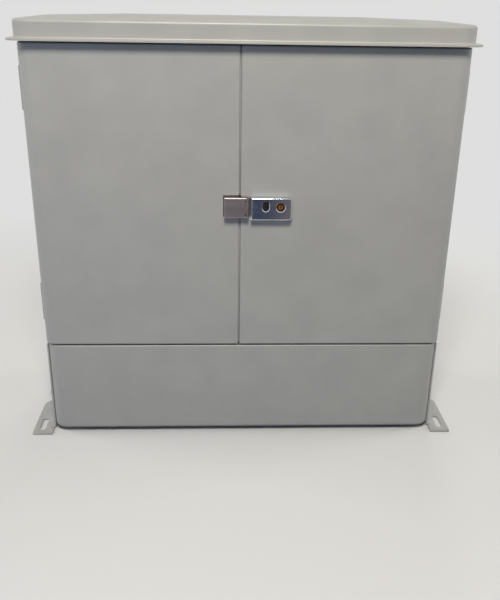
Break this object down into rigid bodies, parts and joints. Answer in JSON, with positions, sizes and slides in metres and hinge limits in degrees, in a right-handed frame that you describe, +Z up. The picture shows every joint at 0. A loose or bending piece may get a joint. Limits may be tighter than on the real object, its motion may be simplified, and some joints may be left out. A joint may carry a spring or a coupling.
{
  "type": "roadside utility cabinet",
  "caption": "Free-standing outdoor cabinet with two hinged doors, flip-lever lock, crowned lid, plinth and slotted feet, holding a steel frame with terminal modules.",
  "frame": {"origin": "on the ground under the middle of the cabinet", "axes": "+X to the right seen from the front, +Y from the doors to the back, +Z up"},
  "size_m": [1.054, 0.393, 0.9755],
  "materials": {
    "moulded_body": "satin moulded glass-fibre compound",
    "rubber": "matt",
    "grey_rubber": "matt",
    "painted_feet": "satin paint",
    "zinc_steel": "zinc plated",
    "hinge_steel": "stainless",
    "terminal_plastic": "moulded",
    "copper": "rolled copper",
    "insulator": "moulded",
    "cast_zinc": "die cast",
    "chrome": "polished chrome plate",
    "satin_steel": "satin stainless",
    "dark_button": "moulded",
    "brass": "turned brass"
  },
  "bodies": {
    "cabinet": {"base_plinth": "moulded_body", "left_side_panel": "moulded_body", "right_side_panel": "moulded_body", "back_panel": "moulded_body", "lid": "moulded_body", "front_header": "moulded_body", "frame_seal": "rubber", "bottom_plate": "zinc_steel", "cable_sleeve_1": "rubber", "cable_sleeve_2": "rubber", "cable_sleeve_3": "rubber", "cable_sleeve_4": "rubber", "foot_bracket_front_left": "painted_feet", "foot_bracket_front_right": "painted_feet", "foot_bracket_rear_left": "painted_feet", "foot_bracket_rear_right": "painted_feet", "foot_bolts": "zinc_steel", "panel_bolts": "zinc_steel", "frame_bolts": "zinc_steel", "left_upright": "zinc_steel", "right_upright": "zinc_steel", "top_rail": "zinc_steel", "bottom_rail": "zinc_steel", "clamp_rail": "zinc_steel", "cable_clamps": "zinc_steel", "jumper_guide_left": "zinc_steel", "jumper_guide_right": "zinc_steel", "module_column_1": "terminal_plastic", "module_column_2": "terminal_plastic", "module_column_3": "terminal_plastic", "module_column_4": "terminal_plastic", "earth_bar": "copper", "earth_standoffs": "insulator", "left_jamb_leaf_bottom": "hinge_steel", "left_jamb_leaf_top": "hinge_steel", "right_jamb_leaf_bottom": "hinge_steel", "right_jamb_leaf_top": "hinge_steel", "left_hinge_pins": "hinge_steel", "right_hinge_pins": "hinge_steel"},
    "left_door": {"left_door": "moulded_body", "left_door_leaf_bottom": "hinge_steel", "left_door_leaf_top": "hinge_steel", "meeting_seal": "grey_rubber", "document_pocket": "zinc_steel"},
    "right_door": {"right_door": "moulded_body", "right_door_leaf_bottom": "hinge_steel", "right_door_leaf_top": "hinge_steel", "lock_plate": "cast_zinc", "lock_housing": "chrome", "lever_pin": "hinge_steel", "button_spring": "hinge_steel"},
    "lever": {"lever": "satin_steel"},
    "lock_button": {"lock_button": "dark_button"},
    "key_cylinder": {"key_cylinder": "brass", "lock_crank": "zinc_steel"},
    "top_rod": {"top_rod": "zinc_steel"},
    "bottom_rod": {"bottom_rod": "zinc_steel"},
    "left_top_bolt": {"left_top_bolt": "zinc_steel"},
    "left_bottom_bolt": {"left_bottom_bolt": "zinc_steel"}
  },
  "joints": [
    {"name": "left_door_hinge", "type": "hinge", "parent": "cabinet", "child": "left_door", "pos_m": [-0.479, -0.134, 0.5845], "axis": [0, 0, -1], "range_deg": [0, 120]},
    {"name": "right_door_hinge", "type": "hinge", "parent": "cabinet", "child": "right_door", "pos_m": [0.479, -0.134, 0.5845], "axis": [0, 0, 1], "range_deg": [0, 120]},
    {"name": "lever_flip", "type": "hinge", "parent": "right_door", "child": "lever", "pos_m": [0.002, -0.189, 0.585], "axis": [0, 0, 1], "range_deg": [0, 90]},
    {"name": "button_push", "type": "slide", "parent": "right_door", "child": "lock_button", "axis": [0, 1, 0], "range_m": [0, 0.003], "stiffness_N_per_m": 400, "deforming": ["button_spring"]},
    {"name": "key_turn", "type": "hinge", "parent": "right_door", "child": "key_cylinder", "pos_m": [0.077, -0.17, 0.5865], "axis": [0, -1, 0], "range_deg": [0, 90]},
    {"name": "top_rod_slide", "type": "slide", "parent": "right_door", "child": "top_rod", "axis": [0, 0, 1], "range_m": [0, 0.01697]},
    {"name": "bottom_rod_slide", "type": "slide", "parent": "right_door", "child": "bottom_rod", "axis": [0, 0, -1], "range_m": [0, 0.01702]},
    {"name": "left_top_bolt_slide", "type": "slide", "parent": "left_door", "child": "left_top_bolt", "axis": [0, 0, 1], "range_m": [0, 0.016]},
    {"name": "left_bottom_bolt_slide", "type": "slide", "parent": "left_door", "child": "left_bottom_bolt", "axis": [0, 0, -1], "range_m": [0, 0.016]}
  ],
  "couplings": [
    {"joint": "key_turn", "follows": "top_rod_slide", "rad_per_m": 92.56},
    {"joint": "bottom_rod_slide", "follows": "top_rod_slide", "ratio": 1}
  ]
}
